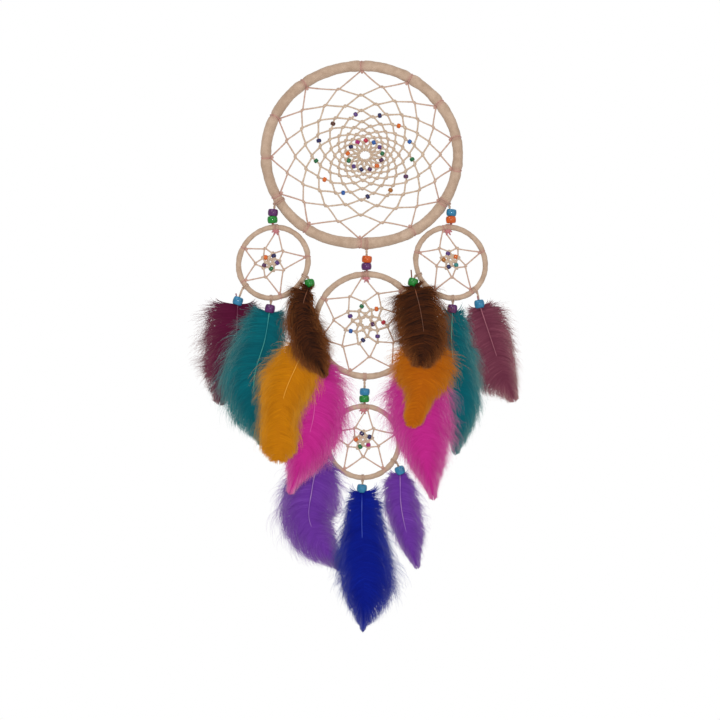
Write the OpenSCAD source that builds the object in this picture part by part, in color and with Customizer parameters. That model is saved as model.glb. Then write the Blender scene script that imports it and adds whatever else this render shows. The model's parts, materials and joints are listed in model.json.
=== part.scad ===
// Dream catcher: a large wrapped hoop with a knotted web, two side hoops and a middle hoop
// that hang from it on beaded laces, a bottom hoop under the middle one, and 13 feathers.
// The origin is where a nail or hook meets the inside of the main hoop's top.
// +Z is up, +X is to the right and the front faces -Y. All hoops stand in the plane Y = 0.

/* [Main hoop] */
// Width of the main hoop, between the middles of its tube
main_w = 157.4; // [156:0.1:159]
// Height of the main hoop, between the middles of its tube
main_h = 145.4; // [145:0.1:147]
// Thickness of the wrapped tube
main_tube = 8.4; // [7:0.1:8.6]
// Thickness of the steel ring inside the wrap
main_wire = 4.8; // [3:0.1:5]

/* [Side hoops] */
// Long axis of a side hoop, between the middles of its tube
side_w = 59.4; // [57:0.1:60]
// Short axis of a side hoop
side_h = 55.2; // [54:0.1:56]
// Angle of the long axis above the horizontal, on the left hoop
side_lean = 52; // [40:1:60]
// Distance of each side hoop's middle from the centre line
side_x = 72.6; // [72:0.1:76]
// Thickness of the wrapped tube
side_tube = 4.2; // [3.5:0.1:4.4]

/* [Middle and bottom hoops] */
// Diameter of the middle hoop, between the middles of its tube
middle_d = 83.8; // [80:0.1:85]
// Thickness of its wrapped tube
middle_tube = 4.7; // [4:0.1:5]
// Diameter of the bottom hoop, between the middles of its tube
bottom_d = 58.4; // [56:0.1:60]
// Thickness of its wrapped tube
bottom_tube = 4; // [3.5:0.1:4.2]
// Thickness of the wire ring inside each of the four small hoops
small_wire = 2.2; // [1.5:0.1:2.6]

/* [Beads] */
// Diameter of a pony bead
pony_d = 8; // [7:0.1:8.2]
// Length of a pony bead
pony_h = 5.8; // [5:0.1:6]
// Bore of a pony bead
pony_bore = 3.6; // [3:0.1:4]
// Diameter of a seed bead
seed_d = 2.9; // [2.4:0.1:3.1]
// Length of a seed bead
seed_h = 2.2; // [1.8:0.1:2.4]
// Bore of a seed bead
seed_bore = 1; // [0.8:0.1:1.2]

/* [Laces and thread] */
// Thickness of the laces that carry the hoops
hanger_lace = 2; // [1.6:0.1:2.4]
// Thickness of the laces that carry the feathers
feather_lace = 1.5; // [1.2:0.1:1.8]
// Thickness of the web's thread
thread = 1.1; // [0.8:0.1:1.3]
// How far a tight loop or hitch bites into the soft wrap
bite = 0.2; // [0.1:0.05:0.3]

/* [Feathers] */
// Thickness of a feather's vane
vane_t = 0.8; // [0.6:0.1:0.9]
// Thickness of a feather's bare quill
quill_d = 1.5; // [1.2:0.1:1.8]

/* [Hidden] */
$fn = 48;

// Clear gap between a swinging lace's round end and the loop that holds it
swing_gap = 0.3;
// Clear gap between a hanger's lower bead and the hoop below it
bead_gap = 1.1;
// Gap between the two beads of a hanger
stack_gap = 0.1;
// Length of bare quill between a feather's bead and its vane
neck_h = 1.2;
// A feather's lace stops this far short of the bead's lower end
lace_end = 0.8;
// Gap between a feather's bead and the quill below it
quill_gap = 0.3;
// Diameter of the glued knot at a hanger's lower end
knot_d = 4.4;
// Gaps between threads narrower than twice this are filled, where the thread is knotted
knot_fill = 0.35;
// The wrap's two ends stop short of each other by this angle, under the first hitch
seam = 0.4;
// Sides and steps of the tubes that are bent to an oval
oval_sides = 12;
oval_steps = 60;

suede = [0.76, 0.66, 0.57];
steel = [0.62, 0.62, 0.64];
pink = [0.75, 0.45, 0.50];
navy = [0.13, 0.10, 0.35];
blue = [0.20, 0.50, 0.66];
green = [0.15, 0.60, 0.22];
purple = [0.42, 0.20, 0.55];
plum = [0.36, 0.12, 0.32];
orange = [0.90, 0.42, 0.08];
amber = [0.62, 0.38, 0.12];
brown = [0.30, 0.15, 0.08];
crimson = [0.72, 0.12, 0.30];
teal = [0.06, 0.50, 0.52];
maroon = [0.38, 0.12, 0.26];
yellow = [0.82, 0.52, 0.06];
magenta = [0.72, 0.16, 0.56];
violet = [0.36, 0.18, 0.62];
royal = [0.07, 0.12, 0.56];

// ---------- Hoops ----------
// Each hoop is [middle [x, z], width, height, long axis's lean, tube, wire, side arc radii].
// The radii are those of the arcs at the sides in the four quarters, counted from the upper
// right one. A round hoop has none.
MIDDLE = 0;
WIDTH = 1;
HEIGHT = 2;
LEAN = 3;
TUBE = 4;
WIRE = 5;
ARCS = 6;

function dir(a) = [cos(a), sin(a)];
function turned(p, a) = [p[0] * cos(a) - p[1] * sin(a), p[0] * sin(a) + p[1] * cos(a)];

// An oval quarter is a side arc of radius r and a top arc that meets it smoothly.
function top_r(w, h, r) = (pow(w / 2 - r, 2) + pow(h / 2, 2) - r * r) / (h - 2 * r);
function turn(w, h, r) = atan2(top_r(w, h, r) - h / 2, w / 2 - r);

// The point of an oval quarter where its outward normal leans by a, moved outward by out
function quarter_point(w, h, r, a, out) =
    a <= turn(w, h, r)
        ? [w / 2 - r, 0] + (r + out) * dir(a)
        : [0, h / 2 - top_r(w, h, r)] + (top_r(w, h, r) + out) * dir(a);

function own_point(hoop, a, out) =
    let (q = floor(a / 90) % 4)
    let (fold = [a, 180 - a, a - 180, 360 - a][q])
    let (p = quarter_point(hoop[WIDTH], hoop[HEIGHT], hoop[ARCS][q], fold, out))
    [[1, -1, -1, 1][q] * p[0], [1, 1, -1, -1][q] * p[1]];

// The point of a hoop's middle line where its outward normal points at angle a
function hoop_point(hoop, a, out = 0) =
    hoop[MIDDLE] + (len(hoop[ARCS]) == 0
        ? (hoop[WIDTH] / 2 + out) * dir(a)
        : turned(own_point(hoop, (a - hoop[LEAN] + 720) % 360, out), hoop[LEAN]));

// Half the outer height of a leaning oval hoop
function half_rise(hoop) = max([for (a = [60:120]) hoop_point(hoop, a, hoop[TUBE] / 2)[1]]) - hoop[MIDDLE][1];

main_hoop = [[0, main_tube / 2 - main_h / 2], main_w, main_h, 0, main_tube, main_wire, [64, 70, 72, 72]];

// Height taken by a hanger's two beads and the gaps at them
stack_h = 2 * pony_h + stack_gap + bead_gap;

// A side hoop hangs from the main hoop's tube, below and beside it.
side_hang_a = 212;
side_lace = 3.1;
side_arcs = [26.6, 26.6, 26.6, 26.6];
function side_hoop(s) =
    let (lean = s > 0 ? 180 - side_lean : side_lean)
    let (flat = [[s * side_x, 0], side_w, side_h, lean, side_tube, small_wire, side_arcs])
    let (top = side_hang[1] - side_lace - stack_h)
    [[s * side_x, top - half_rise(flat)], side_w, side_h, lean, side_tube, small_wire, side_arcs];

// A lace's hinge point: its round end just clears the loop, half as thick, round the tube above.
function hinge_out(tube, lace) = tube / 2 + lace - bite + swing_gap;
side_hang = hoop_point(main_hoop, side_hang_a, hinge_out(main_tube, hanger_lace));
left_hoop = side_hoop(-1);
right_hoop = side_hoop(1);

middle_x = 3.7;
middle_lace = 3.9;
main_bottom = 272;
middle_hang = hoop_point(main_hoop, main_bottom, hinge_out(main_tube, hanger_lace));
middle_z = middle_hang[1] - middle_lace - stack_h - (middle_d + middle_tube) / 2;
middle_hoop = [[middle_x, middle_z], middle_d, middle_d, 0, middle_tube, small_wire, []];

bottom_x = 1.1;
bottom_lace = 5.2;
middle_bottom = 268;
bottom_hang = hoop_point(middle_hoop, middle_bottom, hinge_out(middle_tube, hanger_lace));
bottom_z = bottom_hang[1] - bottom_lace - stack_h - (bottom_d + bottom_tube) / 2;
bottom_hoop = [[bottom_x, bottom_z], bottom_d, bottom_d, 0, bottom_tube, small_wire, []];

// ---------- Webs ----------
// Each web is [hoop, hitch angles, hub's offset from the hoop's middle, pull of each row].
// A row's knots sit midway between the knots of the row before, pulled towards the hub.
main_pulls = concat([0.13], [for (i = [1:10]) 0.105], [0.2, 0.3, 0.35]);
main_net = [
    main_hoop, [90, 61, 38, 12, 350, 326, 299, 269, 237, 208, 182, 154, 124], [2.5, -0.5], main_pulls
];
left_net = [left_hoop, [87, 5, 287, 210, 152], [-2.5, 0.6], [0.4, 0.28, 0.3, 0.35]];
right_net = [right_hoop, [99, 22, 307, 237, 166], [0.3, 3.1], [0.4, 0.28, 0.3, 0.35]];
middle_net = [middle_hoop, [94, 45, 352, 301, 250, 196, 148], [-0.4, 3.4], [0.25, 0.26, 0.3, 0.3, 0.3]];
bottom_net = [bottom_hoop, [83, 14, 307, 235, 163], [-0.7, 2.4], [0.4, 0.28, 0.3, 0.35]];

function mix(a, b, t) = a + (b - a) * t;
function hub(net) = net[0][MIDDLE] + net[2];
function hitches(net) = [for (a = net[1]) hoop_point(net[0], a, bite - net[0][TUBE] / 2)];
function next_row(row, hub, pull) =
    [for (i = [0:len(row) - 1]) mix((row[i] + row[(i + 1) % len(row)]) / 2, hub, pull)];
function rows(row, hub, pulls, k = 0) =
    k == len(pulls) ? [row] : concat([row], rows(next_row(row, hub, pulls[k]), hub, pulls, k + 1));
function web_rows(net) = rows(hitches(net), hub(net), net[3]);

// Seed beads are threaded in rings, each [net, row, side, colours]: one bead between a knot of
// the row and the next row's knot on one side of it, clockwise from the first hitch.
FORWARD = 0;
BACK = 1;
main_outer = [orange, blue, green, plum, amber, navy, blue, orange, green, navy, brown, purple, navy];
main_inner = [orange, plum, navy, purple, green, orange, navy, magenta, crimson, blue, purple, green, plum];
main_seeds = [[main_net, 4, BACK, main_outer], [main_net, 11, BACK, main_inner]];
left_seeds = [[left_net, 2, FORWARD, [purple, green, plum, orange, navy]]];
right_seeds = [[right_net, 2, BACK, [orange, teal, navy, amber, purple]]];
middle_seeds = [
    [middle_net, 2, BACK, [orange, crimson, purple, navy, blue, purple, green]],
    [middle_net, 4, FORWARD, [plum]]
];
bottom_seeds = [[bottom_net, 2, BACK, [navy, magenta, green, orange, navy]]];

// ---------- Feathers ----------
// Each feather is [name, colour, bead's colour, hoop, angle on the hoop, lace's lean, lace's
// length to the bead's middle, vane's lean, length, width, sideways bend, layer's Y]. Leans
// are from straight down, towards +X. The bend is how far the vane's middle bows to +X.
FEATHERS = [
    ["left_maroon", maroon, blue, left_hoop, 219, -20, 10.5, -10, 80, 36, -3, 2.4],
    ["left_teal", teal, purple, left_hoop, 270, -10, 5, -4, 106, 46, -11, 0],
    ["left_brown", brown, green, left_hoop, 335, 10, 4.6, 10, 74, 34, 1, -8.4],
    ["left_yellow", yellow, orange, middle_hoop, 184, -26, 7, -14, 97, 44, -2, -7],
    ["left_magenta", magenta, purple, middle_hoop, 204, -14, 6, -11, 104, 40, 5, -5.6],
    ["right_brown", brown, green, right_hoop, 203, -16, 5, 5, 70, 38, 2, -8.4],
    ["right_yellow", yellow, orange, middle_hoop, 356, 26, 7, -8, 72, 42, 4, -7],
    ["right_magenta", magenta, blue, middle_hoop, 331, 10, 6, 9, 106, 42, -4, -5.6],
    ["right_teal", teal, purple, right_hoop, 270, -6, 5, 0, 118, 30, 4, 0],
    ["right_maroon", maroon, blue, right_hoop, 312, 9, 9, 18, 80, 32, -1, 2.4],
    ["bottom_left_purple", violet, purple, bottom_hoop, 187, -28, 6, 10, 92, 44, -12, -2.9],
    ["bottom_blue", royal, blue, bottom_hoop, 269, -6, 5.4, 0, 110, 48, 2, -4.3],
    ["bottom_right_purple", violet, blue, bottom_hoop, 328, 20, 6.4, 9, 79, 32, -1, -2.9]
];
F_NAME = 0;
F_COLOUR = 1;
F_BEAD = 2;
F_HOOP = 3;
F_ANGLE = 4;
F_LACE_LEAN = 5;
F_LACE = 6;
F_LEAN = 7;
F_LENGTH = 8;
F_WIDTH = 9;
F_BEND = 10;
F_LAYER = 11;

function down(lean) = [sin(lean), -cos(lean)];
function feather_hinge(f) = hoop_point(f[F_HOOP], f[F_ANGLE], hinge_out(f[F_HOOP][TUBE], feather_lace));
function feather_bead(f) = feather_hinge(f) + f[F_LACE] * down(f[F_LACE_LEAN]);
function neck(f) = feather_bead(f) + (pony_h / 2 + neck_h) * down(f[F_LEAN]);
function spine(f, t) =
    neck(f) + t * f[F_LENGTH] * down(f[F_LEAN]) + f[F_BEND] * sin(180 * t) * dir(f[F_LEAN]);
function half_width(f, t) = f[F_WIDTH] / 2 * pow(sin(180 * pow(t, 0.8)), 0.6);

HOOPS = [
    ["main", main_hoop, main_net, main_seeds],
    ["left", left_hoop, left_net, left_seeds],
    ["right", right_hoop, right_net, right_seeds],
    ["middle", middle_hoop, middle_net, middle_seeds],
    ["bottom", bottom_hoop, bottom_net, bottom_seeds]
];
// Each hanger is [name, hoop above, angle on it, lace, lower hoop, lower bead, upper bead].
HANGERS = [
    ["left", main_hoop, side_hang_a, side_lace, left_hoop, green, purple],
    ["right", main_hoop, 540 - side_hang_a, side_lace, right_hoop, orange, teal],
    ["middle", main_hoop, main_bottom, middle_lace, middle_hoop, purple, orange],
    ["bottom", middle_hoop, middle_bottom, bottom_lace, bottom_hoop, green, blue]
];

// ---------- Shapes ----------
// Places children, drawn in a plane whose Y is up, at point p of the plane Y = 0
module at(p) {
    translate([p[0], 0, p[1]]) rotate([90, 0, 0]) children();
}

// Rings of points on the skin of a hoop's tube, at radius r round its middle line
function skin(hoop, r, first, sides) =
    [for (j = [0:oval_steps], i = [0:sides - 1])
        let (p = hoop_point(hoop, hoop[LEAN] + (j == 0 ? first : j * 360 / oval_steps), r * cos(i * 360 / sides)))
        [p[0], r * sin(i * 360 / sides), p[1]]];

// Faces that join each ring of points to the next, the first ring being ring number "from"
function skirt(from, count, sides) =
    [for (j = [0:count - 1], i = [0:sides - 1])
        let (k = (from + j) * sides)
        [k + i, k + (i + 1) % sides, k + sides + (i + 1) % sides, k + sides + i]];

function flipped(faces) = [for (f = faces) [for (i = [len(f) - 1:-1:0]) f[i]]];

// An oval ring of wire, closed on itself
module oval_wire(hoop) {
    sides = oval_sides;
    rings = skin(hoop, hoop[WIRE] / 2, 0, sides);
    count = oval_steps * sides;
    points = [for (i = [0:count - 1]) rings[i]];
    polyhedron(points, [for (f = skirt(0, oval_steps, sides)) [for (i = f) i % count]]);
}

// An oval tube whose two ends nearly meet
module oval_wrap(hoop) {
    sides = oval_sides;
    outer = skin(hoop, hoop[TUBE] / 2, seam, sides);
    bore = skin(hoop, hoop[WIRE] / 2, seam, sides);
    n = len(outer);
    far = n - sides;
    polyhedron(concat(outer, bore), concat(
        skirt(0, oval_steps, sides),
        [for (f = flipped(skirt(0, oval_steps, sides))) [for (i = f) i + n]],
        [for (i = [0:sides - 1]) [i, n + i, n + (i + 1) % sides, (i + 1) % sides]],
        [for (i = [0:sides - 1]) [far + (i + 1) % sides, far + n + (i + 1) % sides, far + n + i, far + i]]
    ));
}

module ring_wire(hoop) {
    color(steel) {
        if (len(hoop[ARCS]) > 0) {
            oval_wire(hoop);
        } else {
            at(hoop[MIDDLE]) rotate_extrude() translate([hoop[WIDTH] / 2, 0]) circle(d = hoop[WIRE]);
        }
    }
}

module ring_wrap(hoop) {
    color(suede) {
        if (len(hoop[ARCS]) > 0) {
            oval_wrap(hoop);
        } else {
            at(hoop[MIDDLE]) rotate_extrude(angle = 360 - seam) translate([hoop[WIDTH] / 2, 0]) difference() {
                circle(d = hoop[TUBE]);
                circle(d = hoop[WIRE]);
            }
        }
    }
}

module strand(a, b) {
    translate(a) rotate(atan2(b[1] - a[1], b[0] - a[0])) translate([0, -thread / 2]) square([norm(b - a), thread]);
}

module web(net) {
    net_rows = web_rows(net);
    last = len(net_rows) - 1;
    count = len(net_rows[0]);
    color(suede) at([0, 0]) linear_extrude(thread, center = true)
        offset(delta = -knot_fill) offset(delta = knot_fill) {
            for (k = [0:last - 1], i = [0:count - 1]) {
                strand(net_rows[k][i], net_rows[k + 1][i]);
                strand(net_rows[k][(i + 1) % count], net_rows[k + 1][i]);
            }
            for (i = [0:count - 1]) {
                strand(net_rows[last][i], net_rows[last][(i + 1) % count]);
            }
        }
}

// A seed bead threaded halfway from knot a to knot b
module seed_bead(a, b) {
    at((a + b) / 2) rotate(atan2(b[1] - a[1], b[0] - a[0])) rotate([0, 90, 0]) difference() {
        cylinder(d = seed_d, h = seed_h, center = true, $fn = 24);
        cylinder(d = seed_bore, h = seed_h + 1, center = true, $fn = 24);
    }
}

module seed_ring(ring) {
    net_rows = web_rows(ring[0]);
    row = ring[1];
    colours = ring[3];
    count = len(net_rows[row]);
    for (i = [0:len(colours) - 1]) {
        color(colours[i]) seed_bead(net_rows[row][i], net_rows[row + 1][(i - ring[2] + count) % count]);
    }
}

module pony_bead(colour) {
    color(colour) rotate_extrude() difference() {
        translate([pony_bore / 2, -pony_h / 2]) square([pony_d / 2 - pony_bore / 2, pony_h]);
        for (s = [-1, 1]) {
            translate([pony_d / 2, s * pony_h / 2]) rotate(45) square(1.6, center = true);
        }
    }
}

// A tight loop of lace round a hoop's tube
module loop(hoop, a, lace) {
    p = hoop_point(hoop, a);
    translate([p[0], 0, p[1]]) rotate([0, -a, 0]) rotate_extrude()
        translate([hoop[TUBE] / 2 + lace / 2 - bite, 0]) circle(d = lace, $fn = 24);
}

// The glued knot where a hanger meets the hoop below it: a loop with a lump inside the hoop
module hung_knot(hoop) {
    p = hoop_point(hoop, 90, -hoop[TUBE] / 2 - 1.4);
    color(pink) {
        loop(hoop, 90, hanger_lace / 2);
        translate([p[0], 0, p[1]]) sphere(d = knot_d);
    }
}

// Every loop and knot round one hoop: its own hanger's, its feathers' and the next hanger's
module ties(hoop) {
    for (h = HANGERS) {
        if (h[4] == hoop) hung_knot(hoop);
        if (h[1] == hoop) color(suede) loop(hoop, h[2], hanger_lace / 2);
    }
    for (f = FEATHERS) {
        if (f[F_HOOP] == hoop) color(suede) loop(hoop, f[F_ANGLE], feather_lace / 2);
    }
}

// A round-ended lace from a to b
module lace(a, b, d) {
    translate([a[0], 0, a[1]]) rotate([0, atan2(b[0] - a[0], b[1] - a[1]), 0]) {
        sphere(d = d);
        cylinder(d = d, h = norm(b - a));
    }
}

function hanger_top(h) = hoop_point(h[1], h[2], hinge_out(h[1][TUBE], hanger_lace));

module hanger_lace_piece(h) {
    top = hanger_top(h);
    color(suede) lace(top, top - [0, h[3] + stack_h - bead_gap], hanger_lace);
}

// The two beads stand on each other at the lace's lower end.
module hanger_beads(h) {
    top = hanger_top(h);
    for (i = [0, 1]) {
        translate([top[0], 0, top[1] - h[3] - pony_h / 2 - (1 - i) * (pony_h + stack_gap)]) pony_bead(h[5 + i]);
    }
}

module feather_bead_piece(f) {
    p = feather_bead(f);
    translate([p[0], 0, p[1]]) rotate([0, -f[F_LACE_LEAN], 0]) pony_bead(f[F_BEAD]);
}

// The lace ends inside the bead. The quill starts just below the bead's bore and slants to
// the vane's own layer.
module feather_piece(f) {
    steps = 14;
    bead = feather_bead(f);
    mouth = bead + (pony_h / 2 + quill_gap) * down(f[F_LACE_LEAN]);
    foot = spine(f, 0.1) - mouth;
    reach = norm([foot[0], f[F_LAYER], foot[1]]);
    color(suede) lace(feather_hinge(f), bead + (pony_h / 2 - lace_end) * down(f[F_LACE_LEAN]), feather_lace);
    color(f[F_COLOUR]) {
        translate([mouth[0], 0, mouth[1]])
            rotate([0, acos(foot[1] / reach), atan2(f[F_LAYER], foot[0])]) cylinder(d = quill_d, h = reach);
        translate([0, f[F_LAYER], 0]) at([0, 0]) linear_extrude(vane_t, center = true) polygon(concat(
            [for (i = [0:steps]) spine(f, i / steps) + half_width(f, i / steps) * dir(f[F_LEAN])],
            [for (i = [steps - 1:-1:1]) spine(f, i / steps) - half_width(f, i / steps) * dir(f[F_LEAN])]
        ));
    }
}

for (h = HOOPS) {
    ring_wire(h[1]);
    ring_wrap(h[1]);
    web(h[2]);
    for (ring = h[3]) seed_ring(ring);
    ties(h[1]);
}
for (h = HANGERS) {
    hanger_lace_piece(h);
    hanger_beads(h);
}
for (f = FEATHERS) {
    feather_bead_piece(f);
    feather_piece(f);
}
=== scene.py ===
"""Dream catcher: wrapped hoops with knotted webs, glass and plastic beads, laces and dyed
feathers, built in millimetres in the CAD's frame and scaled to metres when each mesh is made."""
import json
import math
import bpy
import numpy as np
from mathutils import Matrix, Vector


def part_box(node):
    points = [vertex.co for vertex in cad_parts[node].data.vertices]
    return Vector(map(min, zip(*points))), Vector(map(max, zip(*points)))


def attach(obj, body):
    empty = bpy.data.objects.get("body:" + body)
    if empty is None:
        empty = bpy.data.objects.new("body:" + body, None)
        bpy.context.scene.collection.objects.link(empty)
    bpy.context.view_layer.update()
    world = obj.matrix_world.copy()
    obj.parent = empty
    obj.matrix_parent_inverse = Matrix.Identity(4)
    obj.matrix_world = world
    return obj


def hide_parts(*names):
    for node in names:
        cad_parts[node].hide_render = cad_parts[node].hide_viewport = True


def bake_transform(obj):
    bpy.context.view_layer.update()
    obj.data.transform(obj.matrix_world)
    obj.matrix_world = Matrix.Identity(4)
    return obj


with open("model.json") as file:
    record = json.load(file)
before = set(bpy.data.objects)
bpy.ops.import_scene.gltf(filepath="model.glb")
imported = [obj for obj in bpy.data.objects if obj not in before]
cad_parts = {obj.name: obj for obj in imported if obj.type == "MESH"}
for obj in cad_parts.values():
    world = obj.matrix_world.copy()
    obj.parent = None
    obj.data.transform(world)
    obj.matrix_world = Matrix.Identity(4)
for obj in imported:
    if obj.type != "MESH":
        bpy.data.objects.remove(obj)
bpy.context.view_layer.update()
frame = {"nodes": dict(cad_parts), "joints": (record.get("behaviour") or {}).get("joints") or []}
rng = np.random.default_rng(7)
joints = {j["name"]: j for j in frame["joints"]}
MM = 0.001
Y = np.array([0.0, 1.0, 0.0])


# ---------- Hoops and webs, as in the CAD ----------
# size: width and height between the middles of the tube. lean: angle of an oval's long axis. arcs:
# its side arc radii. hitches: angles of the thread's turns round the rim. hub: where the web closes,
# from the hoop's middle. pulls: how far each row's knots are drawn towards the hub. thread: its
# radius, a little over the CAD's.
HOOPS = {
    "main": dict(
        size=(157.4, 145.4), lean=0, tube=8.4, arcs=(64, 70, 72, 72), thread=0.66,
        hitches=(90, 61, 38, 12, 350, 326, 299, 269, 237, 208, 182, 154, 124),
        hub=(2.5, -0.5), pulls=[0.13] + [0.105] * 10 + [0.2, 0.3, 0.35]),
    "left": dict(
        size=(59.4, 55.2), lean=52, tube=4.2, arcs=(26.6,) * 4, thread=0.62,
        hitches=(87, 5, 287, 210, 152), hub=(-2.5, 0.6), pulls=[0.4, 0.28, 0.3, 0.35]),
    "right": dict(
        size=(59.4, 55.2), lean=128, tube=4.2, arcs=(26.6,) * 4, thread=0.62,
        hitches=(99, 22, 307, 237, 166), hub=(0.3, 3.1), pulls=[0.4, 0.28, 0.3, 0.35]),
    "middle": dict(
        size=(83.8, 83.8), lean=0, tube=4.7, arcs=None, thread=0.62,
        hitches=(94, 45, 352, 301, 250, 196, 148), hub=(-0.4, 3.4), pulls=[0.25, 0.26, 0.3, 0.3, 0.3]),
    "bottom": dict(
        size=(58.4, 58.4), lean=0, tube=4.0, arcs=None, thread=0.62,
        hitches=(83, 14, 307, 235, 163), hub=(-0.7, 2.4), pulls=[0.4, 0.28, 0.3, 0.35]),
}
for hoop_name, hoop in HOOPS.items():
    low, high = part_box(hoop_name + "_ring_wrap")
    hoop["name"] = hoop_name
    hoop["middle"] = np.array([(low.x + high.x) / 2, (low.z + high.z) / 2]) / MM

# Seed beads: (hoop, row, side, colours clockwise from the first hitch). A bead is halfway
# between a knot of the row and the next row's knot on one side of it.
FORWARD, BACK = 0, 1
SEED_RINGS = [
    ("main", 4, BACK, "orange blue green plum amber navy blue orange green navy brown purple navy"),
    ("main", 11, BACK, "orange plum navy purple green orange navy magenta crimson blue purple green plum"),
    ("left", 2, FORWARD, "purple green plum orange navy"),
    ("right", 2, BACK, "orange teal navy amber purple"),
    ("middle", 2, BACK, "orange crimson purple navy blue purple green"),
    ("middle", 4, FORWARD, "plum"),
    ("bottom", 2, BACK, "navy magenta green orange navy"),
]
# Hangers: (name, hoop above, angle on it, lower bead, upper bead)
HANGERS = [
    ("left", "main", 212, "green", "purple"),
    ("right", "main", 328, "orange", "blue"),
    ("middle", "main", 272, "purple", "orange"),
    ("bottom", "middle", 268, "green", "blue"),
]


def unit(v):
    v = np.asarray(v, float)
    return v / np.linalg.norm(v, axis=-1, keepdims=True)


def direction(angle):
    return np.array([math.cos(math.radians(angle)), math.sin(math.radians(angle))])


def hoop_point(hoop, angle, out=0.0):
    """The point (x, z) where the tube's middle line has its outward normal at angle, moved outward."""
    w, h = hoop["size"]
    if hoop["arcs"] is None:
        return hoop["middle"] + (w / 2 + out) * direction(angle)
    own = (angle - hoop["lean"]) % 360
    quarter = min(int(own // 90), 3)
    r = hoop["arcs"][quarter]
    folded = (own, 180 - own, own - 180, 360 - own)[quarter]
    top = ((w / 2 - r) ** 2 + (h / 2) ** 2 - r * r) / (h - 2 * r)
    if folded <= math.degrees(math.atan2(top - h / 2, w / 2 - r)):
        p = np.array([w / 2 - r, 0.0]) + (r + out) * direction(folded)
    else:
        p = np.array([0.0, h / 2 - top]) + (top + out) * direction(folded)
    p = p * ((1, 1), (-1, 1), (-1, -1), (1, -1))[quarter]
    c, s = direction(hoop["lean"])
    return hoop["middle"] + np.array([p[0] * c - p[1] * s, p[0] * s + p[1] * c])


def web_rows(hoop):
    """Knots of each row, from the hitches on the rim inwards."""
    row = np.array([hoop_point(hoop, a, 0.2 - hoop["tube"] / 2) for a in hoop["hitches"]])
    hub = hoop["middle"] + np.array(hoop["hub"])
    rows = [row]
    for pull in hoop["pulls"]:
        middle = (row + np.roll(row, -1, axis=0)) / 2
        row = middle + (hub - middle) * pull
        rows.append(row)
    return rows


def in_space(p, y=0.0):
    """Points (x, z) of the hoops' plane as points (x, y, z)"""
    p = np.asarray(p, float)
    return np.stack([p[..., 0], np.broadcast_to(np.asarray(y, float), p[..., 0].shape), p[..., 1]], -1)


# ---------- Meshes ----------
class Shape:
    """Points in millimetres, faces, the material of each face and named values of each point"""

    def __init__(self):
        self.points, self.faces, self.slots, self.values = [], [], [], []
        self.count = 0

    def add(self, points, faces, slot=0, value=0.0):
        points = np.asarray(points, float).reshape(-1, 3)
        self.faces.extend([[self.count + i for i in f] for f in faces])
        self.slots.extend([slot] * len(faces))
        self.points.append(points)
        self.values.append(np.broadcast_to(np.asarray(value, float).reshape(-1), (len(points),)))
        self.count += len(points)

    def build(self, name, materials, value_name=None):
        mesh = bpy.data.meshes.new(name)
        mesh.from_pydata((np.concatenate(self.points) * MM).tolist(), [], self.faces)
        for m in materials:
            mesh.materials.append(m)
        mesh.polygons.foreach_set("material_index", self.slots)
        mesh.polygons.foreach_set("use_smooth", [True] * len(self.faces))
        if value_name:
            attribute = mesh.attributes.new(value_name, "FLOAT", "POINT")
            attribute.data.foreach_set("value", np.concatenate(self.values).astype(np.float32))
        mesh.update()
        ob = bpy.data.objects.new(name, mesh)
        bpy.context.scene.collection.objects.link(ob)
        return ob


def grid_faces(rows, columns, closed_rows, closed_columns):
    """Quads between rows of points, each row one ring or line of them"""
    faces = []
    for r in range(rows if closed_rows else rows - 1):
        a, b = r * columns, (r + 1) % rows * columns
        for c in range(columns if closed_columns else columns - 1):
            d = (c + 1) % columns
            faces.append((a + c, a + d, b + d, b + c))
    return faces


def tube(path, radius, sides=8, closed=False, across=Y, flat=1.0):
    """A tube round path. across is a direction that the path is nowhere parallel to, and flat
    squeezes the tube along it."""
    path = np.asarray(path, float)
    n = len(path)
    if closed:
        along = np.roll(path, -1, axis=0) - np.roll(path, 1, axis=0)
    else:
        along = np.gradient(path, axis=0)
    side = unit(np.cross(along, across))
    deep = unit(np.cross(side, along))
    b = np.linspace(0, 2 * math.pi, sides, endpoint=False)
    r = np.broadcast_to(np.asarray(radius, float), (n,))[:, None, None]
    points = path[:, None] + r * (
        np.cos(b)[None, :, None] * side[:, None] + flat * np.sin(b)[None, :, None] * deep[:, None])
    faces = grid_faces(n, sides, closed, True)
    if not closed:
        faces.append(tuple(range(sides))[::-1])
        faces.append(tuple((n - 1) * sides + i for i in range(sides)))
    return points.reshape(-1, 3), faces


def lathe(profile, centre, axis, sides=40):
    """A closed profile [(radius, height)] turned round axis at centre"""
    axis = unit(axis)
    side = unit(np.cross(axis, Y if abs(axis[1]) < 0.9 else [1.0, 0, 0]))
    deep = np.cross(axis, side)
    b = np.linspace(0, 2 * math.pi, sides, endpoint=False)
    profile = np.asarray(profile, float)
    ring = np.cos(b)[:, None] * side + np.sin(b)[:, None] * deep
    points = np.asarray(centre) + profile[None, :, :1] * ring[:, None] + profile[None, :, 1:] * axis
    return points.reshape(-1, 3), grid_faces(sides, len(profile), True, True)


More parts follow.
